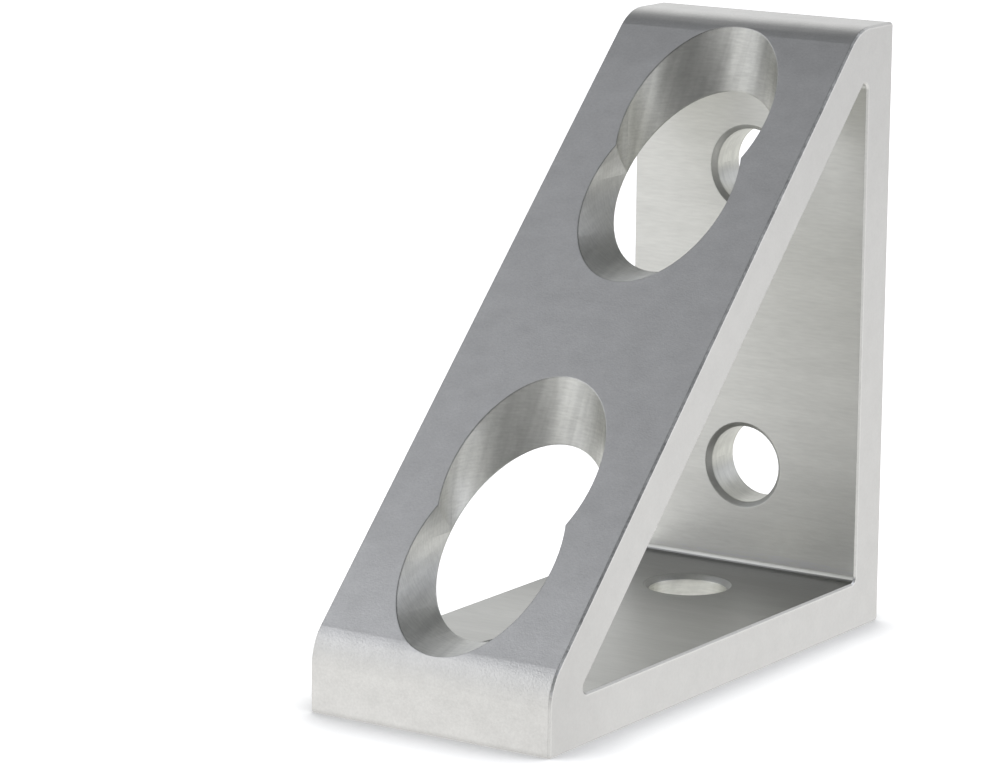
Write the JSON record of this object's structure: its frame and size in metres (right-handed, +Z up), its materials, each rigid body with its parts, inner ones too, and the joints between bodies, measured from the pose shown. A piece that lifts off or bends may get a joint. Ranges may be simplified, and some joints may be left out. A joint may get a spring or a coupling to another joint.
{
  "type": "t slot corner bracket",
  "caption": "Gusseted inside corner bracket for slotted framing: a slice of hollow triangular aluminium extrusion with bolt holes in its legs and access holes through its gusset.",
  "frame": {"origin": "centre of the underside of the base leg, which is the centre of the part's footprint", "axes": "+X along the width of the slice, square to both saw cuts; +Y out of the mounting face of the upright leg; +Z up, away from the mounting face of the base leg"},
  "size_m": [0.0222, 0.0508, 0.0508],
  "materials": {
    "anodised_aluminium": "satin"
  },
  "bodies": {
    "root": {"corner_bracket": "anodised_aluminium"}
  },
  "joints": []
}
